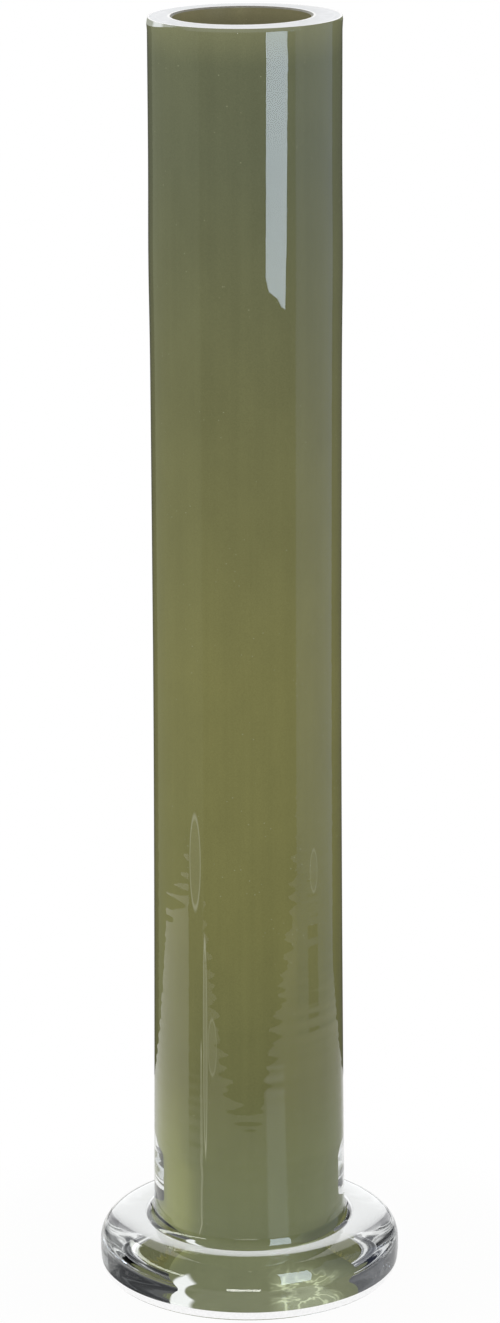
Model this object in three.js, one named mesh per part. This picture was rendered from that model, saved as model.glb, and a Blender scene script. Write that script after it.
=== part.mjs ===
// A tall vase in cased glass: a thin olive colour cup, a thick clear cup blown over it,
// and a round clear foot, ground flat underneath, gathered round the clear cup's base.
// Millimetres, +Z up, with the origin under the centre of the foot.
import * as THREE from "three";

// Overall sizes
const HEIGHT = 500;
const TUBE_RADIUS = 36.35; // outside of the straight upper part of the tube
const BASE_FLARE = 1.65; // how much wider in radius the tube has grown where it meets the foot
const FLARE_START = 260; // height below which the tube widens
const FLARE_POWER = 1.5;

// Rim, cut flat and bevelled on both edges. The inner bevel is cut across the colour cup's own wall.
const LIP_BULGE = 0.2; // the rim stands this far proud of the tube
const LIP_HEIGHT = 5;
const OUTER_BEVEL = 0.3;
const OUTER_BEVEL_HEIGHT = 1.8;
const INNER_BEVEL_HEIGHT = 1.0;

// Bore, drawn in above the foot, with a rounded bottom
const BORE_RADIUS = 25.9; // at the rim
const BORE_TAPER = 0.5; // how much narrower in radius the bore is where it draws in
const NECK_TOP = 53; // the bore draws in between these two heights
const NECK_BOTTOM = 41;
const NECK_RADIUS = 23.1;
const BASE_RADIUS_OF_BORE = 22.6; // where the rounded bottom starts
const ROUND_TOP = 19;
const BORE_POWER = 4;
const LINER_WALL = 0.8;
const LINER_BOTTOM = 3; // height of the colour cup's underside

// The hand-blown bore leans: its centre moves from the foot to the rim, and its bottom sits further aside.
const BORE_AT_BASE = new THREE.Vector2(0.9, -1.3);
const BORE_AT_RIM = new THREE.Vector2(-1.1, 1.6);
const TOE = new THREE.Vector2(4, 3);
const TOE_HEIGHT = 30; // the bottom moves aside below this height

// Foot
const FOOT_RADIUS = 59.5;
const FOOT_HEIGHT = 23; // at the seam with the tube
const FOOT_BULGE = 11.3; // height of the widest ring
const SHOULDER_POWER = 2.4;
const FOOT_EDGE = 6.5; // from the widest ring in to the flat underside
const EDGE_POWER = 3.5;
const FOOT_FILLET = 3.5; // hollow between the tube and the foot
const SEAT_BOTTOM = 1.8; // height of the dish in the foot that holds the clear cup
const SEAT_POWER = 2.6;

// The fused layers stay this far apart, so that the solids share no face.
const SEAM = 0.05;

const SEGMENTS = 64; // round the axis
const CURVE_STEPS = 9; // along a rounded quarter
const FLARE_STEPS = 6;
const NECK_STEPS = 5;

// Places that several pieces share
const BASE_RADIUS = TUBE_RADIUS + BASE_FLARE;
const FILLET_TOP = FOOT_HEIGHT + FOOT_FILLET;
const SEAT_RADIUS = BASE_RADIUS + FOOT_FILLET;
const LIP_RADIUS = TUBE_RADIUS + LIP_BULGE;

const point = (radius, height) => new THREE.Vector2(radius, height);

// A quarter of a superellipse, from the outer radius at height `side` to the inner radius at height `end`.
function roundedQuarter(inner, outer, side, end, power, steps = CURVE_STEPS) {
  return Array.from({ length: steps + 1 }, (_, i) => {
    const angle = (Math.PI / 2) * (i / steps);
    const across = i === steps ? 0 : Math.cos(angle) ** (2 / power);
    return point(inner + (outer - inner) * across, side + (end - side) * Math.sin(angle) ** (2 / power));
  });
}

// A cup's wall from the axis up to its top edge, `grow` outside the bore's own surface:
// rounded bottom, drawn-in neck and straight tapered wall.
function boreWall(grow, top) {
  const bottom = LINER_BOTTOM + LINER_WALL - grow;
  const wall = roundedQuarter(0, BASE_RADIUS_OF_BORE + grow, ROUND_TOP, bottom, BORE_POWER).reverse();
  const upperRadius = BORE_RADIUS - BORE_TAPER;
  for (let i = 0; i <= NECK_STEPS; i++) {
    const share = i / NECK_STEPS;
    const radius = THREE.MathUtils.lerp(NECK_RADIUS, upperRadius, THREE.MathUtils.smoothstep(share, 0, 1));
    wall.push(point(radius + grow, THREE.MathUtils.lerp(NECK_BOTTOM, NECK_TOP, share)));
  }
  wall.push(point(BORE_RADIUS + grow, top));
  return wall;
}

// The dish between the clear cup and the foot, from the axis out to the seam on top.
function seat(grow) {
  return roundedQuarter(0, SEAT_RADIUS + grow, FOOT_HEIGHT, SEAT_BOTTOM - grow, SEAT_POWER).reverse();
}

// The outside of the tube: hollow fillet, widened base, straight wall and lip.
function tubeWall() {
  const wall = [];
  for (let i = 1; i <= CURVE_STEPS; i++) {
    const angle = (Math.PI / 2) * (i / CURVE_STEPS);
    wall.push(
      point(SEAT_RADIUS - FOOT_FILLET * Math.sin(angle), FILLET_TOP - FOOT_FILLET * Math.cos(angle)),
    );
  }
  for (let i = 1; i <= FLARE_STEPS; i++) {
    const share = 1 - i / FLARE_STEPS;
    const height = FLARE_START + (FILLET_TOP - FLARE_START) * share;
    wall.push(point(TUBE_RADIUS + BASE_FLARE * share ** FLARE_POWER, height));
  }
  wall.push(point(TUBE_RADIUS, HEIGHT - LIP_HEIGHT));
  wall.push(point(LIP_RADIUS, HEIGHT - OUTER_BEVEL_HEIGHT));
  wall.push(point(LIP_RADIUS - OUTER_BEVEL, HEIGHT));
  return wall;
}

// Where the bore's own centre lies at a height.
function boreCentre(height) {
  const centre = new THREE.Vector2().lerpVectors(BORE_AT_BASE, BORE_AT_RIM, height / HEIGHT);
  return centre.addScaledVector(TOE, THREE.MathUtils.smoothstep(TOE_HEIGHT - height, 0, TOE_HEIGHT));
}

// Turns a profile, which starts and ends on the axis, about +Z.
// Its last `leaning` points belong to the bore, and turn about the bore's own centre.
function revolve(profile, leaning = 0) {
  const geometry = new THREE.LatheGeometry(profile, SEGMENTS);
  geometry.rotateX(Math.PI / 2);
  const place = geometry.getAttribute("position");
  for (let i = 0; i < place.count; i++) {
    const onBore = i % profile.length >= profile.length - leaning;
    if (!onBore) continue;
    const centre = boreCentre(place.getZ(i));
    place.setX(i, place.getX(i) + centre.x);
    place.setY(i, place.getY(i) + centre.y);
  }
  return geometry;
}

function colourLiner() {
  const outside = boreWall(LINER_WALL, HEIGHT);
  const inside = boreWall(0, HEIGHT - INNER_BEVEL_HEIGHT).reverse();
  const profile = [...outside, ...inside];
  return revolve(profile, profile.length);
}

function clearCasing() {
  const bore = boreWall(LINER_WALL + SEAM, HEIGHT).reverse();
  return revolve([...seat(0), ...tubeWall(), ...bore], bore.length);
}

function clearFoot() {
  const edge = roundedQuarter(FOOT_RADIUS - FOOT_EDGE, FOOT_RADIUS, FOOT_BULGE, 0, EDGE_POWER).reverse();
  const shoulder = roundedQuarter(SEAT_RADIUS + SEAM, FOOT_RADIUS, FOOT_BULGE, FOOT_HEIGHT, SHOULDER_POWER);
  const dish = seat(SEAM).reverse();
  return revolve([point(0, 0), ...edge, ...shoulder.slice(1), ...dish.slice(1)]);
}

function piece(name, geometry, material) {
  const mesh = new THREE.Mesh(geometry, material);
  mesh.name = name;
  return mesh;
}

function oliveGlass() {
  return new THREE.MeshStandardMaterial({ color: 0x6f7250, roughness: 0.08, metalness: 0 });
}

function clearGlass() {
  const glass = new THREE.MeshStandardMaterial({ color: 0xf2f5f4, roughness: 0.02, metalness: 0 });
  glass.transparent = true;
  glass.opacity = 0.3;
  return glass;
}

const vase = new THREE.Group();
vase.add(piece("colour_liner", colourLiner(), oliveGlass()));
vase.add(piece("clear_casing", clearCasing(), clearGlass()));
vase.add(piece("clear_foot", clearFoot(), clearGlass()));

export default vase;
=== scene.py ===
# A tall vase in cased glass: an opaque olive cup, a thick clear cup blown over it and a round clear foot,
# standing on a white table in soft studio light.
import math

import bpy
from mathutils import Matrix, Vector


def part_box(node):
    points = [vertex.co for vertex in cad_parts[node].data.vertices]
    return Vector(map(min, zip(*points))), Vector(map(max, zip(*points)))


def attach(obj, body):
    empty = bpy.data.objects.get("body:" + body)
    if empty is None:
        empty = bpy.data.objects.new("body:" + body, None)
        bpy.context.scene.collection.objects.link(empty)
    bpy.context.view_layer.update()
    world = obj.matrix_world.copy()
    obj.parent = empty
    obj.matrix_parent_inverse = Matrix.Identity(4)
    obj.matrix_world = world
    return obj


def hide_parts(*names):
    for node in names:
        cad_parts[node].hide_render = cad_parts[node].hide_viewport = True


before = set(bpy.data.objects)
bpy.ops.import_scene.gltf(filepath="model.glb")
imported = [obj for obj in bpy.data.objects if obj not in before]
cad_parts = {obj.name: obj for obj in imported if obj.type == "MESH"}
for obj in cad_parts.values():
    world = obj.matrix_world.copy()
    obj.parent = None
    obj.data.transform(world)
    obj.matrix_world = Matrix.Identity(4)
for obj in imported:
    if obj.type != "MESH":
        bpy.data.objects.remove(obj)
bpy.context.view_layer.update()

BODY = "root"
MM = 0.001
WHITE = (1, 1, 1)

# Sizes that the frame gives, in metres
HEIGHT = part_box("clear_casing")[1].z
SEAT_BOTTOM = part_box("clear_casing")[0].z
LINER_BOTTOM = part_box("colour_liner")[0].z
FOOT_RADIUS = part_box("clear_foot")[1].x
FOOT_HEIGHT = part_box("clear_foot")[1].z

# Tube wall
TUBE_RADIUS = 36.35 * MM
BASE_FLARE = 1.65 * MM
FLARE_START = 260 * MM
FLARE_POWER = 1.5
SWELL = 0.3 * MM  # a faint belly in the blown wall
SWELL_HEIGHT = 409 * MM
SWELL_SPREAD = 26 * MM

# Rim
LIP_BULGE = 0.2 * MM
LIP_HEIGHT = 5 * MM
INNER_BEVEL_HEIGHT = 0.6 * MM
BEVEL_LEAST = 0.25 * MM  # height of the outer bevel where it fades out
BEVEL_SLOPE = 0.17  # its width over its height
BEVEL_CUTS = (  # azimuth of its middle, half width and softness in degrees, and depth
    (-2, 33, 6, 1.1 * MM),
    (-92, 12, 48, 2.0 * MM),
    (92, 6, 20, 0.9 * MM),
    (-160, 22, 20, 0.9 * MM),
)
BEVEL_EASE = 0.12  # share of the bevel that turns into its edge
EDGE_ROUND = 0.04 * MM
EDGE_CUT = EDGE_ROUND / 3
RIM_TILT = 0.005  # the rim is cut a little higher on the right
TILT_DEPTH = 14 * MM

# Bore and colour cup
BORE_RADIUS = 25.9 * MM
BORE_TAPER = 0.5 * MM
NECK_TOP = 56 * MM  # the bore draws in below this height
NECK_BOTTOM = 44 * MM  # and is narrowest between these two
NECK_LOW = 27 * MM
NECK_RADIUS = 22.0 * MM
BASE_BORE_RADIUS = 25.0 * MM
ROUND_TOP = 20.5 * MM  # the bore's bottom is rounded below this height
BORE_POWER = 4.0
BORE_AT_RIM = (-1.1 * MM, 1.6 * MM)  # the bore leans, so its centre wanders from base to rim
BORE_AT_BASE = (0.65 * MM, -1.3 * MM)
TOE = (4.25 * MM, 3 * MM)  # the bore's bottom sits further aside
TOE_HEIGHT = 30 * MM
LINER_WALL = 0.8 * MM

# Foot
FOOT_BULGE = 11.3 * MM
SHOULDER_POWER = 2.4
FOOT_EDGE = 6.5 * MM
EDGE_POWER = 3.5
FOOT_FILLET = 3.5 * MM
FILLET_POWER = 1.4
SEAT_POWER = 2.6
GROUND_BAND = (1.2 * MM, 4.6 * MM)  # the wheel left a matt band round the foot's lower edge
SEAM = 0.05 * MM

# Places that several pieces share
BASE_RADIUS = TUBE_RADIUS + BASE_FLARE
FILLET_TOP = FOOT_HEIGHT + FOOT_FILLET
SEAT_RADIUS = BASE_RADIUS + FOOT_FILLET
LIP_RADIUS = TUBE_RADIUS + LIP_BULGE

# Fineness of the meshes
SEGMENTS = 288
CURVE_STEPS = 28
FILLET_STEPS = 14
WALL_STEP = 6 * MM
NECK_STEP = 1.5 * MM
SHARP_ANGLE = math.radians(28)
ON_AXIS = 1e-9

# Camera, measured from the photograph's outlines
IMAGE_HEIGHT = 1323
FOCAL_PIXELS = 4457.7
SENSOR = 36
CAMERA_PLACE = Vector((0.00108, -1.65714, 0.71859))
CAMERA_PITCH = math.radians(15.759)
CAMERA_ROLL = math.radians(-0.22)


def smooth(share):
    """Eases a share from 0 to 1, with level ends."""
    share = min(max(share, 0.0), 1.0)
    return share * share * (3 - 2 * share)


def superellipse(inner, outer, side, end, power):
    """Points (radius, height) of a quarter from the outer radius at height side to the inner one at end."""
    points = []
    for i in range(CURVE_STEPS + 1):
        angle = math.pi / 2 * i / CURVE_STEPS
        across = max(math.cos(angle), 0.0) ** (2 / power) if i < CURVE_STEPS else 0.0
        along = math.sin(angle) ** (2 / power)
        points.append((inner + (outer - inner) * across, side + (end - side) * along))
    return points


def heights(start, end, step):
    """Even heights above the start, up to the end."""
    count = math.ceil((end - start) / step)
    return [start + (end - start) * i / count for i in range(1, count + 1)]


def bore_radius(height):
    """Radius of the bore above its rounded bottom."""
    if height > NECK_TOP:
        return BORE_RADIUS - BORE_TAPER * (HEIGHT - height) / (HEIGHT - NECK_TOP)
    if height < NECK_BOTTOM:
        share = smooth((height - ROUND_TOP) / (NECK_LOW - ROUND_TOP))
        return BASE_BORE_RADIUS + (NECK_RADIUS - BASE_BORE_RADIUS) * share
    share = smooth((height - NECK_BOTTOM) / (NECK_TOP - NECK_BOTTOM))
    return NECK_RADIUS + (BORE_RADIUS - BORE_TAPER - NECK_RADIUS) * share


def bore_wall(grow, top):
    """A cup's whole wall from the axis up to its top edge, lying this far outside the bore's own surface."""
    bottom = LINER_BOTTOM + LINER_WALL - grow
    wall = superellipse(0, BASE_BORE_RADIUS + grow, ROUND_TOP, bottom, BORE_POWER)[::-1]
    for height in heights(ROUND_TOP, NECK_TOP, NECK_STEP) + heights(NECK_TOP, top, WALL_STEP):
        wall.append((bore_radius(height) + grow, height))
    return wall


def seat(grow):
    """The dish between the clear cup and the foot, from the axis out to the seam on top."""
    return superellipse(0, SEAT_RADIUS + grow, FOOT_HEIGHT, SEAT_BOTTOM - grow, SEAT_POWER)[::-1]


def fillet():
    """The hollow between the foot and the tube, from the seam up."""
    points = []
    for i in range(1, FILLET_STEPS + 1):
        angle = math.pi / 2 * i / FILLET_STEPS
        radius = SEAT_RADIUS - FOOT_FILLET * math.sin(angle) ** FILLET_POWER
        height = FILLET_TOP - FOOT_FILLET * max(math.cos(angle), 0.0) ** FILLET_POWER
        points.append((radius, height))
    return points


def tube_wall():
    """Outside of the tube from its fillet up to its lip, with its flare and belly."""
    points = []
    for height in heights(FILLET_TOP, HEIGHT - LIP_HEIGHT, WALL_STEP):
        share = max(0.0, (FLARE_START - height) / (FLARE_START - FILLET_TOP))
        flare = BASE_FLARE * share ** FLARE_POWER
        swell = SWELL * math.exp(-(((height - SWELL_HEIGHT) / SWELL_SPREAD) ** 2))
        points.append((TUBE_RADIUS + flare + swell, height))
    return points


def outer_bevel(angle):
    """Height of the outer bevel, which the hand-held wheel cut deeper in some places."""
    height = BEVEL_LEAST
    for azimuth, half, soft, depth in BEVEL_CUTS:
        away = abs(math.degrees(math.remainder(angle - math.radians(azimuth), 2 * math.pi)))
        height += depth * smooth((half + soft - away) / soft)
    return height


def bore_shift(height):
    """Centre of the leaning bore at a height."""
    share = height / HEIGHT
    aside = smooth(1 - height / TOE_HEIGHT)
    ends = zip(BORE_AT_BASE, BORE_AT_RIM, TOE)
    return [base + (rim - base) * share + toe * aside for base, rim, toe in ends]


def tilted(x, y, height):
    """A point near the rim, moved with the tilt of its cut."""
    share = max(0.0, 1 - (HEIGHT - height) / TILT_DEPTH)
    return x, y, height + RIM_TILT * x * share


def around(angle, radius):
    """Point on a circle. Angle 0 is the camera's side, and it grows to the right."""
    return radius * math.sin(angle), -radius * math.cos(angle)


def straight(radius, height):
    """Place of a profile point that is round about the vase's axis."""
    return lambda angle: tilted(*around(angle, radius), height)


def leaning(radius, height):
    """Place of a profile point that is round about the bore's own axis."""

    def place(angle):
        x, y = around(angle, radius)
        shift_x, shift_y = bore_shift(height)
        return tilted(x + shift_x, y + shift_y, height)

    return place


def bevelled(share, inset, drop):
    """Place of a profile point, a share of the way up the outer bevel and a little in and down from it."""

    def place(angle):
        bevel = outer_bevel(angle)
        radius = LIP_RADIUS - BEVEL_SLOPE * bevel * share - inset
        return tilted(*around(angle, radius), HEIGHT - bevel * (1 - share) - drop)

    return place


def new_object(name, data):
    made = bpy.data.objects.new(name, data)
    bpy.context.scene.collection.objects.link(made)
    return made


def turn(name, profile, materials):
    """A solid turned about +Z. A profile point is (place, material): place(angle) gives its x, y and z, and
    the material covers the band up to the next point. A point on the axis is made once."""
    vertices = []
    rings = []
    for place, _ in profile:
        ring = [Vector(place(2 * math.pi * i / SEGMENTS)) for i in range(SEGMENTS)]
        if all((point - ring[0]).length < ON_AXIS for point in ring):
            ring = ring[:1]
        rings.append(range(len(vertices), len(vertices) + len(ring)))
        vertices += ring
    faces = []
    slots = []
    for low, high, (_, material) in zip(rings, rings[1:], profile):
        for i in range(SEGMENTS):
            j = (i + 1) % SEGMENTS
            corners = [low[i % len(low)], low[j % len(low)], high[j % len(high)], high[i % len(high)]]
            faces.append(list(dict.fromkeys(corners)))
        slots += [materials.index(material)] * SEGMENTS
    mesh = bpy.data.meshes.new(name)
    mesh.from_pydata(vertices, [], faces)
    for material in materials:
        mesh.materials.append(material)
    mesh.polygons.foreach_set("material_index", slots)
    mesh.shade_smooth()
    mesh.set_sharp_from_angle(angle=SHARP_ANGLE)
    mesh.validate()
    return new_object(name, mesh)


def colour_liner(outside, inside, cut):
    """The olive cup: its outside is fused into the clear glass, and its top is cut aslant."""
    wall = bore_wall(LINER_WALL, HEIGHT)
    bore = bore_wall(0, HEIGHT - INNER_BEVEL_HEIGHT)
    profile = [(leaning(*point), outside) for point in wall[:-1]]
    profile.append((leaning(*wall[-1]), cut))
    profile += [(leaning(*point), inside) for point in reversed(bore)]
    return turn("olive_cup", profile, [outside, inside, cut])


def clear_casing(clear, sawn, seam, ground):
    """The clear cup: fillet, wall, bevelled rim, and the seams to the colour and the foot."""
    dish = seat(0)
    bore = bore_wall(LINER_WALL + SEAM, HEIGHT)
    profile = [(straight(*point), seam) for point in dish[:-1]]
    profile += [(straight(*point), clear) for point in dish[-1:] + fillet() + tube_wall()]
    profile += [
        (bevelled(0, 0, 2 * EDGE_ROUND), clear),
        (bevelled(0, 0, EDGE_ROUND), clear),
        (bevelled(0, EDGE_CUT, 0), ground),
        (bevelled(BEVEL_EASE, EDGE_CUT, 0), ground),
        (bevelled(1 - BEVEL_EASE, EDGE_CUT, 0), ground),
        (bevelled(1, 0, EDGE_CUT), ground),
        (bevelled(1, EDGE_ROUND, 0), clear),
        (bevelled(1, 2 * EDGE_ROUND, 0), sawn),
    ]
    profile += [(leaning(*point), seam) for point in reversed(bore)]
    return turn("clear_casing_glass", profile, [clear, sawn, seam, ground])


def clear_foot(clear, polished, seam, ground):
    """The foot: flat polished underside, rounded edge and shoulder, and the dish under the casing."""
    edge = superellipse(FOOT_RADIUS - FOOT_EDGE, FOOT_RADIUS, FOOT_BULGE, 0, EDGE_POWER)
    shoulder = superellipse(SEAT_RADIUS + SEAM, FOOT_RADIUS, FOOT_BULGE, FOOT_HEIGHT, SHOULDER_POWER)
    band_bottom, band_top = GROUND_BAND
    profile = [(straight(0, 0), polished)]
    for radius, height in reversed(edge):
        profile.append((straight(radius, height), ground if band_bottom < height < band_top else clear))
    profile += [(straight(*point), clear) for point in shoulder[1:-1]]
    profile += [(straight(*point), seam) for point in reversed(seat(SEAM))]
    return turn("clear_foot_glass", profile, [clear, polished, seam, ground])


class Tree:
    """Adds shader nodes to a node tree by short calls. A value is a number, a tuple or a socket."""

    def __init__(self, tree):
        self.tree = tree
        tree.nodes.clear()

    def node(self, kind, inputs=(), **settings):
        made = self.tree.nodes.new(kind)
        for key, value in settings.items():
            setattr(made, key, value)
        for key, value in dict(inputs).items():
            self.put(made.inputs[key], value)
        return made

    def put(self, socket, value):
        """Feeds a socket. A colour is three numbers, or one for a grey."""
        if isinstance(value, bpy.types.NodeSocket):
            self.tree.links.new(value, socket)
        elif socket.type == "RGBA":
            colour = value if isinstance(value, tuple) else (value, value, value)
            socket.default_value = (*colour, 1)
        else:
            socket.default_value = value

    def math(self, operation, *values):
        made = self.node("ShaderNodeMath", operation=operation)
        for socket, value in zip(made.inputs, values):
            self.put(socket, value)
        return made.outputs[0]

    def product(self, first, *others):
        for value in others:
            first = self.math("MULTIPLY", first, value)
        return first

    def length(self, x, y):
        return self.math("SQRT", self.math("ADD", self.product(x, x), self.product(y, y)))

    def from_centre(self, x, y, centre):
        """The place as seen from a centre, as two sockets."""
        return self.math("SUBTRACT", x, centre[0]), self.math("SUBTRACT", y, centre[1])

    def azimuth(self, x, y):
        """Degrees about +Z: 0 is the camera's side, and it grows to the right."""
        return self.math("DEGREES", self.math("ARCTAN2", x, self.product(y, -1.0)))

    def ramp(self, value, start, end, low=0.0, high=1.0, kind="SMOOTHSTEP"):
        """Goes from low to high while the value goes from start to end."""
        inputs = {"Value": value, "From Min": start, "From Max": end, "To Min": low, "To Max": high}
        return self.node("ShaderNodeMapRange", inputs, interpolation_type=kind, clamp=True).outputs[0]

    def window(self, value, low, high, soft):
        """1 between low and high, with soft ends."""
        rise = self.ramp(value, low - soft, low + soft)
        fall = self.ramp(value, high - soft, high + soft, 1.0, 0.0)
        return self.product(rise, fall)

    def mix(self, share, first, second, blend="MIX"):
        inputs = {"Factor": share, 6: first, 7: second}  # 6 and 7 are the node's two colours
        return self.node("ShaderNodeMix", inputs, data_type="RGBA", blend_type=blend).outputs[2]

    def mix_shader(self, share, first, second):
        return self.node("ShaderNodeMixShader", {0: share, 1: first, 2: second}).outputs[0]

    def spot(self):
        """The place on the object, as one socket."""
        return self.node("ShaderNodeTexCoord").outputs["Object"]

    def axes(self):
        """The place on the object, as the sockets x, y and z."""
        return self.node("ShaderNodeSeparateXYZ", {0: self.spot()}).outputs

    def seen_by(self, kind):
        """1 where a ray of this kind meets the surface."""
        return self.node("ShaderNodeLightPath").outputs[f"Is {kind} Ray"]

    def noise(self, scale, stretch=(1, 1, 1), detail=2.0, roughness=0.5, seed=(0, 0, 0)):
        """Noise in object space, stretched along the axes."""
        place = self.node("ShaderNodeMapping", {"Vector": self.spot(), "Scale": stretch, "Location": seed})
        inputs = {"Vector": place.outputs[0], "Scale": scale, "Detail": detail, "Roughness": roughness}
        return self.node("ShaderNodeTexNoise", inputs).outputs["Fac"]

    def bump(self, height, distance):
        inputs = {"Strength": 1.0, "Distance": distance, "Height": height}
        return self.node("ShaderNodeBump", inputs).outputs[0]

    def grain(self, scale, height):
        """Bump of plain noise."""
        return self.bump(self.noise(scale), height)

    def glass(self, roughness=0.0, **normal):
        inputs = {"Base Color": GLASS_TINT, "Roughness": roughness, "IOR": GLASS_IOR, **normal}
        return self.node("ShaderNodeBsdfPrincipled", {"Transmission Weight": 1.0, **inputs}).outputs[0]

    def matt(self, colour, **normal):
        return self.node("ShaderNodeBsdfDiffuse", {"Color": colour, **normal}).outputs[0]

    def glow(self, colour, strength=1.0):
        return self.node("ShaderNodeEmission", {"Color": colour, "Strength": strength}).outputs[0]


def new_material(name):
    material = bpy.data.materials.new(name)
    material.use_nodes = True
    return material, Tree(material.node_tree)


def finish_material(tree, shader):
    output = tree.node("ShaderNodeOutputMaterial")
    tree.put(output.inputs["Surface"], shader)


# Unless a name or comment says otherwise, a pair below is a range, and three numbers that are no colour
# are a window: its two ends and their softness. Azimuths are in degrees.

# Clear glass
GLASS_IOR = 1.5
GLASS_TINT = (0.965, 0.985, 0.978)
GLASS_BOUNCES = 32
CASING_RIPPLE = 0.016 * MM
FOOT_RIPPLE = 0.022 * MM
RIPPLE_STRETCH = (30, 30, 260)  # ripples lie level
SLOW_SCALE = 60
SLOW_STRETCH = (1, 1, 0.6)
WORKED_HEIGHTS = (180 * MM, 320 * MM)  # the casing was worked more below
CASING_WORKED = 9.0
SMUDGE_SCALE = 45
SMUDGE_SPAN = (0.45, 0.75)
SMUDGE_ROUGHNESS = 0.015


def glass_material(name, ripple_height, worked_gain=1.0):
    """Clear glass with the faint ripples that a wet tool leaves, deeper where it was worked more."""
    material, tree = new_material(name)
    _, _, z = tree.axes()
    ripples = tree.noise(1, RIPPLE_STRETCH, detail=0.0)
    worked = tree.ramp(z, *WORKED_HEIGHTS, worked_gain, 1.0)
    slow = tree.noise(SLOW_SCALE, SLOW_STRETCH, detail=1.0)
    height = tree.math("ADD", tree.product(ripples, worked), slow)
    smudge = tree.ramp(tree.noise(SMUDGE_SCALE), *SMUDGE_SPAN, 0.0, SMUDGE_ROUGHNESS)
    finish_material(tree, tree.glass(smudge, Normal=tree.bump(height, ripple_height)))
    return material


# Ground and polished faces. A grit or swirl is its scale and its height.
GRIT_SPAN = (0.3, 0.7)
SAWN_TONES = ((0.78, 0.79, 0.81), (0.84, 0.85, 0.87))
SAWN_TONE_SCALE = 300
SAWN_SHARE = 0.8  # how matt the flat of the rim is
SAWN_ROUGHNESS = 0.22
SAWN_GRIT = (1500, 0.004 * MM)
SAWN_INNER_EDGE = (27.3 * MM, 28.0 * MM)  # the flat is polished along both of its edges, and painted white there as a highlight
SAWN_OUTER_EDGE = (35.2 * MM, 35.8 * MM)
SAWN_INSIDE = (0.20, 0.21, 0.11)  # what light in the wall meets under the rim
SAW_LINE = (33.08 * MM, 33.32 * MM, 0.1 * MM)  # a line that the wheel left
SAW_LINE_SHARE = 0.6
SAW_LINE_TONE = 0.95
SAW_WANDER = 0.6 * MM
SAW_WANDER_SCALE = 40
BEVEL_MATT_GLINT = (-69, -55, 4)  # azimuths where the outer bevel stayed matt, pale as a painted highlight
BEVEL_MATT_GLINT_SHARE = 0.85
BEVEL_HAZE_GLINT = (-110, -44, 6)  # azimuths where it stayed hazy, a fainter painted highlight
BEVEL_HAZE_GLINT_SHARE = 0.32
BEVEL_LEAST_MATT = 0.06
BEVEL_MATT_AND_GLINT_TONE = (0.86, 0.89, 0.88)
BEVEL_ROUGHNESS = 0.1
BEVEL_GRIT = (1200, 0.004 * MM)
CUT_TONES = ((0.19, 0.185, 0.15), (0.25, 0.24, 0.20))
CUT_SCALE = 1200
CUT_ROUGHNESS = 0.5
CUT_SPECULAR = 0.2
BAND_TONES = (0.90, 0.97)
BAND_GRIT = (900, 0.01 * MM)
POLISHED_SWIRL = (70, 0.02 * MM)


def sawn_material():
    """The flat of the rim: sawn and smoothed, so it is pale and half clear, with a line from the wheel and a
    painted highlight along its polished edges.
    """
    material, tree = new_material("sawn_rim")
    x, y, _ = tree.axes()
    bump = tree.grain(*SAWN_GRIT)
    radius = tree.length(x, y)
    wander = tree.ramp(tree.noise(SAW_WANDER_SCALE), *GRIT_SPAN, -SAW_WANDER, SAW_WANDER, "LINEAR")
    line = tree.window(tree.math("ADD", radius, wander), *SAW_LINE)
    tone = tree.mix(tree.ramp(tree.noise(SAWN_TONE_SCALE), *GRIT_SPAN), *SAWN_TONES)
    tone = tree.mix(tree.product(line, SAW_LINE_SHARE), tone, SAW_LINE_TONE)
    from_bore = tree.length(*tree.from_centre(x, y, BORE_AT_RIM))
    inner = tree.ramp(from_bore, *SAWN_INNER_EDGE, 1.0, 0.0)
    edges = tree.math("MAXIMUM", inner, tree.ramp(radius, *SAWN_OUTER_EDGE))
    # Painted highlight: white along both polished edges of the flat
    tone = tree.mix(edges, tone, WHITE)
    outside = tree.seen_by("Camera")
    matt = tree.matt(tree.mix(outside, SAWN_INSIDE, tone), Normal=bump)
    share = tree.ramp(outside, 0.0, 1.0, 1.0, SAWN_SHARE, "LINEAR")
    finish_material(tree, tree.mix_shader(share, tree.glass(SAWN_ROUGHNESS, Normal=bump), matt))
    return material


def bevel_material():
    """The outer bevel: ground and half polished, with pale matt patches at the left, ground glass that also
    paints a highlight there.
    """
    material, tree = new_material("ground_bevel")
    x, y, _ = tree.axes()
    azimuth = tree.azimuth(x, y)
    matt_glint_share = tree.product(tree.window(azimuth, *BEVEL_MATT_GLINT), BEVEL_MATT_GLINT_SHARE)
    haze_glint_share = tree.product(tree.window(azimuth, *BEVEL_HAZE_GLINT), BEVEL_HAZE_GLINT_SHARE)
    share = tree.math("MAXIMUM", tree.math("MAXIMUM", matt_glint_share, haze_glint_share), BEVEL_LEAST_MATT)
    matt = tree.matt(BEVEL_MATT_AND_GLINT_TONE, Normal=tree.grain(*BEVEL_GRIT))
    dull = {"Color": GLASS_TINT, "Roughness": BEVEL_ROUGHNESS, "IOR": GLASS_IOR}
    face = tree.mix_shader(share, tree.node("ShaderNodeBsdfRefraction", dull).outputs[0], matt)
    finish_material(tree, tree.mix_shader(tree.seen_by("Camera"), tree.glass(BEVEL_ROUGHNESS), face))
    return material


def cut_material():
    """The inner bevel, ground across the colour cup's own wall."""
    material, tree = new_material("cut_bevel")
    tone = tree.mix(tree.ramp(tree.noise(CUT_SCALE), *GRIT_SPAN), *CUT_TONES)
    inputs = {"Base Color": tone, "Roughness": CUT_ROUGHNESS, "Specular IOR Level": CUT_SPECULAR}
    finish_material(tree, tree.node("ShaderNodeBsdfPrincipled", inputs).outputs[0])
    return material


def polished_material():
    """The underside: polished flat, with a faint swirl."""
    material, tree = new_material("polished_base")
    finish_material(tree, tree.glass(Normal=tree.grain(*POLISHED_SWIRL)))
    return material


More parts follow.
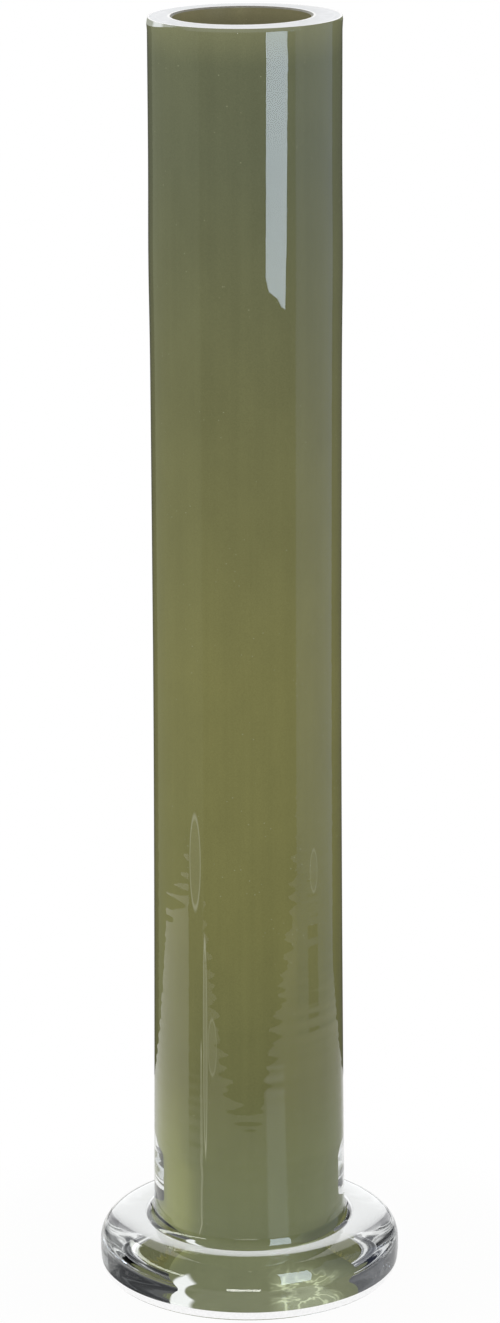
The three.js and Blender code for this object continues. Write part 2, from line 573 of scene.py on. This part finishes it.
def band_material():
    """The band at the foot's lower edge, matt outside and still clear to light in the foot."""
    material, tree = new_material("ground_band")
    grit_scale, grit_height = BAND_GRIT
    grit = tree.noise(grit_scale)
    matt = tree.matt(tree.mix(tree.ramp(grit, *GRIT_SPAN), *BAND_TONES), Normal=tree.bump(grit, grit_height))
    finish_material(tree, tree.mix_shader(tree.seen_by("Camera"), tree.glass(), matt))
    return material


def seam_material():
    """A fused seam: glass meets glass, so light goes straight through."""
    material, tree = new_material("fused_seam")
    finish_material(tree, tree.node("ShaderNodeBsdfTransparent", {"Color": WHITE}).outputs[0])
    return material


# Olive of the colour cup from the foot to the rim, with painted light in its pale stops at the very bottom
# and top: share of the height and linear colour
OLIVE_AND_LIGHT_STOPS = (
    (0.010, (0.185, 0.200, 0.112)),
    (0.030, (0.180, 0.196, 0.105)),
    (0.045, (0.150, 0.166, 0.080)),
    (0.062, (0.154, 0.170, 0.080)),
    (0.11, (0.156, 0.168, 0.073)),
    (0.17, (0.152, 0.154, 0.062)),
    (0.30, (0.186, 0.182, 0.066)),
    (0.50, (0.204, 0.197, 0.073)),
    (0.70, (0.170, 0.170, 0.075)),
    (0.90, (0.135, 0.144, 0.081)),
    (0.97, (0.140, 0.150, 0.085)),
    (0.995, (0.200, 0.205, 0.110)),
)
OLIVE_NOISES = (  # scale, stretch, detail and roughness, and how far they lighten or darken the olive
    (1, (260, 260, 3.5), 4.0, 0.6, 0.04),  # drawn streaks
    (70, (1, 1, 0.5), 3.0, 0.6, 0.05),  # clouds
    (2200, (1, 1, 1), 1.0, 0.5, 0.07),  # grain
)
OLIVE_NOISE_SPAN = (0.25, 0.75)
FUSED_SPECULAR = 0.0
FUSED_ROUGHNESS = 0.6
BORE_SPECULAR = 0.5
BORE_ROUGHNESS = 0.2
BORE_LIGHT_GAIN = (1.5, 1.36, 1.4)  # painted light: the olive in the open bore is lightened against the shade deep inside it

# Small seeds, in patches
SEED_SCALE = 420
SEED_SIZE = (0.05, 0.11)
SEED_PATCHES = (90, (1, 1, 1), 1.0, 0.5, (0.3, 0.1, 0.7))
SEED_PATCH_SPAN = (0.56, 0.62)
SEED_TONE = (0.30, 0.31, 0.19)

# Painted highlights: long pale outlines drawn out upwards like seeds, for glints and reflections in the
# glass:
# azimuth and half width in degrees, height, half height, strength, and how many degrees they turn above the
# neck
DRAWN_GLINTS = (
    (-42.7, 5.0, 177 * MM, 19 * MM, 0.65, 0),
    (-28.2, 3.5, 102.5 * MM, 11.7 * MM, 0.3, 0),
    (55.5, 4.0, 172 * MM, 8.7 * MM, 0.35, 0),
    (-34.2, 1.7, 102 * MM, 44 * MM, 0.85, 0),
    (-42.4, 0.8, 62 * MM, 40 * MM, 1.3, 4.6),
)
DRAWN_GLINT_TURN = (40 * MM, 58 * MM)
DRAWN_GLINT_LINE = (0.90, 1.04, 0.07)
DRAWN_GLINT_HAZE = 0.22
DRAWN_GLINT_TONE = (0.36, 0.36, 0.24)

# Light on the cup, by azimuth and radius about the middle of its bottom: bright lines that the clear foot
# gathers at the lower right
BOTTOM_CENTRE = (4.9 * MM, 1.7 * MM)
GATHERED_TONE = (0.62, 0.68, 0.44)
GATHERED_AZIMUTH = (8, 80, 8)
GATHERED_RADIUS = (11 * MM, 20 * MM, 2.5 * MM)
GATHERED_TOP = (7 * MM, 11 * MM)
GATHERED_SCALE = 190
GATHERED_LEVEL = 0.5  # the lines follow this level of the noise
GATHERED_WIDTH = 0.05
GATHERED_LINES = 0.75
GATHERED_HAZE = 0.25
# A pale rim of light at the left of the cup's bottom
EDGE_TONE = (0.92, 0.94, 0.92)
EDGE_AZIMUTH = (-125, -70, 4)
EDGE_RADIUS = (21.2 * MM, 40 * MM, 0.3 * MM)
EDGE_TOP = (7.5 * MM, 8.5 * MM)
# More light at the cup's low left, and less at its low right
BRIGHT_AZIMUTH = (-100, -57, 13)
BRIGHT_BELOW = (20 * MM, 110 * MM)
BRIGHT_ABOVE = (11 * MM, 24 * MM)
BRIGHT_GAIN = (1.62, 1.56, 1.25)
SHADED_AZIMUTH = (30, 120, 15)
SHADED_HEIGHTS = (7 * MM, 22 * MM, 5 * MM)
SHADED_GAIN = (0.58, 0.58, 0.54)


def about_bottom(tree, x, y):
    """Azimuth and radius of a place about the middle of the cup's bottom."""
    aside, behind = tree.from_centre(x, y, BOTTOM_CENTRE)
    return tree.azimuth(aside, behind), tree.length(aside, behind)


def side_gain(tree, x, y, z):
    """Gain of the olive's tone at a place of the cup: painted light at its low left and painted shade at its
    low right.
    """
    azimuth, _ = about_bottom(tree, x, y)
    low = tree.product(tree.ramp(z, *BRIGHT_BELOW, 1.0, 0.0), tree.ramp(z, *BRIGHT_ABOVE))
    bright = tree.product(tree.window(azimuth, *BRIGHT_AZIMUTH), low)
    shaded = tree.product(tree.window(azimuth, *SHADED_AZIMUTH), tree.window(z, *SHADED_HEIGHTS))
    return tree.mix(shaded, tree.mix(bright, WHITE, BRIGHT_GAIN), SHADED_GAIN)


def small_seeds(tree):
    """Share of the small seeds."""
    cells = tree.node("ShaderNodeTexVoronoi", {"Vector": tree.spot(), "Scale": SEED_SCALE})
    seeds = tree.ramp(cells.outputs["Distance"], *SEED_SIZE, 1.0, 0.0)
    return tree.product(seeds, tree.ramp(tree.noise(*SEED_PATCHES), *SEED_PATCH_SPAN))


def drawn_glints(tree, x, y, z):
    """Share of the painted highlights: long pale outlines, each with a faint haze inside it."""
    turned = tree.azimuth(x, y)
    total = 0.0
    for azimuth, half, height, half_height, strength, turn_above in DRAWN_GLINTS:
        middle = tree.ramp(z, *DRAWN_GLINT_TURN, azimuth, azimuth + turn_above)
        across = tree.math("DIVIDE", tree.math("SUBTRACT", turned, middle), half)
        along = tree.math("DIVIDE", tree.math("SUBTRACT", z, height), half_height)
        reach = tree.length(across, along)
        haze = tree.ramp(reach, *DRAWN_GLINT_LINE[:2], DRAWN_GLINT_HAZE, 0.0)
        share = tree.math("MAXIMUM", tree.window(reach, *DRAWN_GLINT_LINE), haze)
        total = tree.math("MAXIMUM", tree.product(share, strength), total)
    return total


def gathered_light(tree, x, y, z):
    """Share of light gathered at a place of the cup: a haze crossed by thin wandering lines."""
    azimuth, radius = about_bottom(tree, x, y)
    region = tree.product(tree.window(azimuth, *GATHERED_AZIMUTH), tree.window(radius, *GATHERED_RADIUS))
    region = tree.product(region, tree.ramp(z, *GATHERED_TOP, 1.0, 0.0))
    wander = tree.math("ABSOLUTE", tree.math("SUBTRACT", tree.noise(GATHERED_SCALE), GATHERED_LEVEL))
    lines = tree.ramp(wander, 0.0, GATHERED_WIDTH, GATHERED_LINES, 0.0)
    return tree.product(tree.math("ADD", lines, GATHERED_HAZE), region)


def edge_light(tree, x, y, z):
    """Share of the pale rim of light at a place of the cup."""
    azimuth, radius = about_bottom(tree, x, y)
    region = tree.product(tree.window(azimuth, *EDGE_AZIMUTH), tree.window(radius, *EDGE_RADIUS))
    return tree.product(region, tree.ramp(z, *EDGE_TOP, 1.0, 0.0))


def olive_and_light_by_height(tree, z):
    """The olive's colour by height, darker towards both ends and paler again at the very bottom and top,
    where painted light stands in for light that reaches the cup through the foot and through the rim.
    """
    ramp = tree.node("ShaderNodeValToRGB", {"Fac": tree.math("DIVIDE", z, HEIGHT)})
    stops = ramp.color_ramp.elements
    while len(stops) < len(OLIVE_AND_LIGHT_STOPS):
        stops.new(1.0)
    for stop, (position, colour) in zip(stops, OLIVE_AND_LIGHT_STOPS):
        stop.position = position
        stop.color = (*colour, 1)
    return ramp.outputs[0]


def olive_colour(tree):
    """The olive with its streaks, clouds and grain, its small seeds, its painted glints, and the light
    painted on it.
    """
    x, y, z = tree.axes()
    tone = 1.0
    for scale, stretch, detail, roughness, swing in OLIVE_NOISES:
        noise = tree.noise(scale, stretch, detail, roughness)
        tone = tree.product(tone, tree.ramp(noise, *OLIVE_NOISE_SPAN, 1 - swing, 1 + swing, "LINEAR"))
    colour = tree.mix(1.0, olive_and_light_by_height(tree, z), tone, "MULTIPLY")
    colour = tree.mix(1.0, colour, side_gain(tree, x, y, z), "MULTIPLY")
    colour = tree.mix(small_seeds(tree), colour, SEED_TONE)
    colour = tree.mix(drawn_glints(tree, x, y, z), colour, DRAWN_GLINT_TONE)
    colour = tree.mix(gathered_light(tree, x, y, z), colour, GATHERED_TONE)
    return tree.mix(edge_light(tree, x, y, z), colour, EDGE_TONE)


def olive_material(name, specular, roughness, light_gain):
    """Opaque olive glass, matt where it is fused into the casing and glossy in the open bore, its colour
    times a gain that paints light on it.
    """
    material, tree = new_material(name)
    colour = tree.mix(1.0, olive_colour(tree), light_gain, "MULTIPLY")
    inputs = {"Base Color": colour, "Roughness": roughness, "Specular IOR Level": specular}
    finish_material(tree, tree.node("ShaderNodeBsdfPrincipled", inputs).outputs[0])
    return material


# The table under the vase, in metres. Its edge is seen only in the glass: the front from the left, then
# the back.
TABLE_FRONT_LEFT = ((-0.595, -0.300), (-0.384, -0.305), (-0.236, -0.295), (-0.150, -0.262), (-0.067, -0.247))
TABLE_FRONT_RIGHT = ((0.007, -0.240), (0.069, -0.250), (0.138, -0.290), (0.248, -0.316), (0.560, -0.312))
TABLE_BACK = ((0.560, 0.210), (-0.430, 0.210), (-0.540, -0.050))
TABLE_DROP = 0.4 * MM

# Its soft shadow
PAPER = 0.97
SHADOW_RADIUS = (0.085, 0.17)
SHADOW_LIGHTEN = 0.85

# What the glass mirrors in it: a glossy top with the cup's own shadow
TABLE_WHITE = 0.72
TABLE_ROUGHNESS = 0.06
TABLE_SPECULAR = 0.5
CUP_SHADOW = 0.10
CUP_SHADOW_ACROSS = (-0.030, 0.030, 0.006)
CUP_SHADOW_ALONG = (-0.012, 0.10, 0.006)
# The table's left part: shaded near the foot,
LEFT_PART = (-0.045, -0.035)
LEFT_NEAR = (0.088, 0.100)
LEFT_SHADE_AHEAD = (-0.014, -0.010)
LEFT_SHADE = 0.12
# lit further out, behind a slanting line (slope, offset and softness), fading behind the vase,
LEFT_LIT_LINE = (0.2126, -0.0238, 0.003)
LEFT_LIT = 1.1
LEFT_LIT_COLOUR = (1, 1, 0.97)
LEFT_FADE = (-165, -125)
LEFT_FADE_TO = 0.7
# and with a wedge in front of that line, which dims with the distance
WEDGE_LINE = (0.6496, -0.0210, 0.003)
WEDGE_DISTANCE = (0.16, 0.30)
WEDGE_LIGHT = (0.95, 0.18)
# The right panel's mirror image, with a dark patch in it
FAR_RIGHT_AZIMUTH = (58, 180, 4)
FAR_RIGHT_DISTANCE = (0.30, 0.42)
FAR_RIGHT_TONE = (0.34, 0.40, 0.57)
DARK_PATCH_AZIMUTH = (75, 91, 1.5)
DARK_PATCH_DISTANCE = (0.36, 0.485, 0.02)
DARK_PATCH_TONE = (0.06, 0.06, 0.05)
# The mirror image of the sheet of light
STRIP_IMAGE_AZIMUTH = (19.5, 41, 1.5)
STRIP_IMAGE_DISTANCE = (0.25, 0.31)
STRIP_IMAGE_COLOUR = (0.95, 1, 1.05)
STRIP_IMAGE_LIGHT = 1.25

# What is seen of it through the glass: a pale top, with the dark studio in its gloss for rays that skim it
# behind the foot, and shadows (across, along and tone) for all but steep rays
TABLE_BENT = 0.82
SKIMMING = (0.45, 0.65)
SKIMMING_BEHIND = (0.072, 0.088)
SKIMMING_TONE = (0.085, 0.088, 0.092)
BENT_SHADOWS = (
    ((0.005, 0.095), (0.054, 0.17), (0.03, 0.031, 0.033)),
    ((-0.022, 0.007), (0.041, 0.12), (0.10, 0.102, 0.106)),
    ((-0.020, 0.042), (-0.064, -0.042), (0.13, 0.131, 0.136)),
)
BENT_SHADOW_SOFT = 0.002
BENT_SHADOW_SLANT = (0.05, 0.12)


def shaded_table(tree, distance):
    """The table itself: its shadowed middle fades into white."""
    far = tree.ramp(distance, *SHADOW_RADIUS)
    return tree.mix_shader(tree.ramp(far, 0.0, 1.0, SHADOW_LIGHTEN, 1.0), tree.matt(PAPER), tree.glow(WHITE))


def behind_line(tree, x, y, slope, offset, soft):
    """1 for places of the table behind a slanting line."""
    line = tree.math("MULTIPLY_ADD", x, slope, offset)
    return tree.ramp(tree.math("SUBTRACT", y, line), -soft, soft)


def glossy_tone(tree, x, y, distance, azimuth):
    """Tone of the table's glossy top."""
    shadow = tree.product(tree.window(x, *CUP_SHADOW_ACROSS), tree.window(y, *CUP_SHADOW_ALONG))
    tone = tree.mix(shadow, TABLE_WHITE, CUP_SHADOW)
    left = tree.ramp(x, *LEFT_PART, 1.0, 0.0)
    near = tree.ramp(distance, *LEFT_NEAR, 1.0, 0.0)
    ahead = tree.ramp(y, *LEFT_SHADE_AHEAD, 1.0, 0.0)
    tone = tree.mix(tree.product(left, near, ahead), tone, LEFT_SHADE)
    far = tree.ramp(distance, *FAR_RIGHT_DISTANCE)
    tone = tree.mix(tree.product(tree.window(azimuth, *FAR_RIGHT_AZIMUTH), far), tone, FAR_RIGHT_TONE)
    patch = tree.window(distance, *DARK_PATCH_DISTANCE)
    return tree.mix(tree.product(tree.window(azimuth, *DARK_PATCH_AZIMUTH), patch), tone, DARK_PATCH_TONE)


def mirrored_table(tree, x, y, distance):
    """The table as the glass mirrors it."""
    azimuth = tree.azimuth(x, y)
    tone = glossy_tone(tree, x, y, distance, azimuth)
    inputs = {"Base Color": tone, "Roughness": TABLE_ROUGHNESS, "Specular IOR Level": TABLE_SPECULAR}
    gloss = tree.node("ShaderNodeBsdfPrincipled", inputs).outputs[0]
    wedge = tree.ramp(distance, *WEDGE_DISTANCE, *WEDGE_LIGHT)
    lit = tree.ramp(azimuth, *LEFT_FADE, LEFT_FADE_TO, LEFT_LIT)
    strength = tree.ramp(behind_line(tree, x, y, *LEFT_LIT_LINE), 0.0, 1.0, wedge, lit, "LINEAR")
    open_left = tree.product(tree.ramp(x, *LEFT_PART, 1.0, 0.0), tree.ramp(distance, *LEFT_NEAR))
    lit_left = tree.product(open_left, behind_line(tree, x, y, *WEDGE_LINE))
    mirrored = tree.mix_shader(lit_left, gloss, tree.glow(LEFT_LIT_COLOUR, strength))
    strip_far = tree.ramp(distance, *STRIP_IMAGE_DISTANCE, 1.0, 0.0)
    on_strip = tree.product(tree.window(azimuth, *STRIP_IMAGE_AZIMUTH), strip_far)
    return tree.mix_shader(on_strip, mirrored, tree.glow(STRIP_IMAGE_COLOUR, STRIP_IMAGE_LIGHT))


def bent_table(tree, x, y):
    """The table as it is seen through the glass."""
    slant = tree.node("ShaderNodeLayerWeight").outputs["Facing"]
    skimming = tree.product(tree.ramp(slant, *SKIMMING), tree.ramp(y, *SKIMMING_BEHIND))
    tone = tree.mix(skimming, TABLE_BENT, SKIMMING_TONE)
    slanting = tree.ramp(slant, *BENT_SHADOW_SLANT)
    for across, along, shadow_tone in BENT_SHADOWS:
        width = tree.window(x, *across, BENT_SHADOW_SOFT)
        depth = tree.window(y, *along, BENT_SHADOW_SOFT)
        tone = tree.mix(tree.product(width, depth, slanting), tone, shadow_tone)
    return tree.glow(tone)


def table_material():
    """White paper that the camera sees, and a studio table that only the glass shows."""
    material, tree = new_material("white_table")
    x, y, _ = tree.axes()
    distance = tree.length(x, y)
    mirrored = mirrored_table(tree, x, y, distance)
    seen = tree.mix_shader(tree.seen_by("Transmission"), mirrored, bent_table(tree, x, y))
    seen = tree.mix_shader(tree.seen_by("Diffuse"), seen, tree.glow(WHITE))
    finish_material(tree, tree.mix_shader(tree.seen_by("Camera"), seen, shaded_table(tree, distance)))
    return material


def table_top():
    outline = TABLE_FRONT_LEFT + TABLE_FRONT_RIGHT + TABLE_BACK
    mesh = bpy.data.meshes.new("table")
    mesh.from_pydata([(x, y, -TABLE_DROP) for x, y in outline], [], [list(range(len(outline)))])
    mesh.materials.append(table_material())
    new_object("table", mesh)


# Studio that the glass mirrors: azimuth from and to, elevation from and to, softness of the edges in
# degrees, and radiance
STUDIO_DARK = (0.05, 0.05, 0.055)
STUDIO_PANELS = (
    ((62, 126), (-60, 60), 1.0, (0.36, 0.42, 0.62)),  # right panel
    ((-143, -56), (-60, 5), 2.0, (0.26, 0.28, 0.22)),  # left panel
    ((-150, -58), (35, 41), 1.0, (8.0, 8.3, 7.6)),  # left light
    ((-165, -118), (8, 30), 8.0, (1.6, 1.65, 1.6)),  # soft light further behind
    ((-17, 8), (-6, 5), 0.6, (12.0, 12.0, 12.0)),  # front lamp
)
BACKDROP = (1.5, 1.5, 1.52)
BACKDROP_BEHIND = (152, 156)
BACKDROP_ABOVE = (-4, -2)

# Studio that is seen through the glass: dark sides with a grey panel, a pale ceiling and a low backdrop
SIDES = (0.12, 0.122, 0.13)
DARK_SIDE = (0.03, 0.031, 0.034)
DARK_SIDE_FROM = (16, 24)
GREY_PANEL = (0.28, 0.285, 0.295)
GREY_PANEL_ACROSS = (62, 121, 1.0)
GREY_PANEL_BELOW = (8, 10)
CEILING = (0.25, 0.255, 0.265)
CEILING_ABOVE = (20, 36)
LOW_BACKDROP_BEHIND = (167, 173)
LOW_BACKDROP_BELOW = (6, 10)

# Sheet of light on the right, which leans towards the vase: its bottom and top edges, left end first
STRIP_COLOUR = (5.8, 6.8, 8.1)
STRIP_BOTTOM = (Vector((0.297, -0.702, 0.265)), Vector((0.475, -0.456, 0.260)))
STRIP_TOP = (Vector((0.248, -0.304, 1.0)), Vector((0.535, -0.171, 1.0)))
STRIP_ROWS = 8


def mirrored_studio(tree, azimuth, elevation):
    """Light of the studio as the glass mirrors it."""
    light = STUDIO_DARK
    for across, upward, soft, radiance in STUDIO_PANELS:
        panel = tree.product(tree.window(azimuth, *across, soft), tree.window(elevation, *upward, soft))
        light = tree.mix(panel, light, radiance)
    behind = tree.ramp(tree.math("ABSOLUTE", azimuth), *BACKDROP_BEHIND)
    return tree.mix(tree.product(behind, tree.ramp(elevation, *BACKDROP_ABOVE)), light, BACKDROP)


def bent_studio(tree, azimuth, elevation):
    """Light of the studio as it is seen through the glass."""
    light = tree.mix(tree.ramp(azimuth, *DARK_SIDE_FROM), SIDES, DARK_SIDE)
    below = tree.ramp(elevation, *GREY_PANEL_BELOW, 1.0, 0.0)
    light = tree.mix(tree.product(tree.window(azimuth, *GREY_PANEL_ACROSS), below), light, GREY_PANEL)
    light = tree.mix(tree.ramp(elevation, *CEILING_ABOVE), light, CEILING)
    behind = tree.ramp(tree.math("ABSOLUTE", azimuth), *LOW_BACKDROP_BEHIND)
    low = tree.ramp(elevation, *LOW_BACKDROP_BELOW, 1.0, 0.0)
    return tree.mix(tree.product(behind, low), light, BACKDROP)


def studio_world():
    """Even white light, with a studio shown only where the glass mirrors or bends rays to it."""
    world = bpy.data.worlds.new("studio")
    bpy.context.scene.world = world
    world.use_nodes = True
    tree = Tree(world.node_tree)
    direction = tree.node("ShaderNodeTexCoord").outputs["Generated"]
    x, y, z = tree.node("ShaderNodeSeparateXYZ", {0: direction}).outputs
    azimuth = tree.azimuth(x, y)
    elevation = tree.math("DEGREES", tree.math("ARCSINE", z))
    light = tree.mix(tree.seen_by("Glossy"), WHITE, mirrored_studio(tree, azimuth, elevation))
    light = tree.mix(tree.seen_by("Transmission"), light, bent_studio(tree, azimuth, elevation))
    light = tree.mix(tree.seen_by("Camera"), light, WHITE)
    background = tree.node("ShaderNodeBackground", {"Color": light, "Strength": 1.0})
    output = tree.node("ShaderNodeOutputWorld")
    tree.put(output.inputs["Surface"], background.outputs[0])


def strip_light():
    """A long sheet of light that only mirrors show."""
    vertices = []
    for i in range(STRIP_ROWS + 1):
        vertices += [low.lerp(high, i / STRIP_ROWS) for low, high in zip(STRIP_BOTTOM, STRIP_TOP)]
    faces = [(i, i + 1, i + 3, i + 2) for i in range(0, len(vertices) - 2, 2)]
    mesh = bpy.data.meshes.new("strip_light")
    mesh.from_pydata(vertices, [], faces)
    material, tree = new_material("strip_glow")
    finish_material(tree, tree.glow(STRIP_COLOUR))
    mesh.materials.append(material)
    strip = new_object("strip_light", mesh)
    strip.visible_camera = False
    strip.visible_diffuse = False
    strip.visible_transmission = False
    strip.visible_shadow = False


def photo_camera():
    data = bpy.data.cameras.new("camera")
    data.sensor_width = SENSOR
    data.lens = SENSOR * FOCAL_PIXELS / IMAGE_HEIGHT
    camera = new_object("camera", data)
    turned = Matrix.Rotation(math.pi / 2 - CAMERA_PITCH, 4, "X") @ Matrix.Rotation(CAMERA_ROLL, 4, "Z")
    camera.matrix_world = Matrix.Translation(CAMERA_PLACE) @ turned
    bpy.context.scene.camera = camera


def allow_bounces():
    """Lets rays turn inside the thick foot as often as they need to find their way out."""
    cycles = bpy.context.scene.cycles
    cycles.max_bounces = GLASS_BOUNCES
    cycles.glossy_bounces = GLASS_BOUNCES
    cycles.transmission_bounces = GLASS_BOUNCES
    cycles.transparent_max_bounces = 2 * GLASS_BOUNCES


def let_light_through(glass):
    """Clear glass throws no shadow of its own and tints no light on its way to the table."""
    glass.visible_shadow = False
    glass.visible_diffuse = False


def place_piece(piece, node):
    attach(piece, BODY)
    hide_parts(node)


photo_camera()
studio_world()
table_top()
strip_light()

seam = seam_material()
olive_fused = olive_material("olive_fused", FUSED_SPECULAR, FUSED_ROUGHNESS, WHITE)
# The bore's copy of the olive is lightened, painted light against the shade in the bore
olive_bore = olive_material("olive_bore", BORE_SPECULAR, BORE_ROUGHNESS, BORE_LIGHT_GAIN)
casing_glass = glass_material("casing_glass", CASING_RIPPLE, CASING_WORKED)
foot_glass = glass_material("foot_glass", FOOT_RIPPLE)

liner = colour_liner(olive_fused, olive_bore, cut_material())
casing = clear_casing(casing_glass, sawn_material(), seam, bevel_material())
foot = clear_foot(foot_glass, polished_material(), seam, band_material())
let_light_through(casing)
let_light_through(foot)
place_piece(liner, "colour_liner")
place_piece(casing, "clear_casing")
place_piece(foot, "clear_foot")

bpy.context.scene.view_settings.view_transform = "Standard"
allow_bounces()
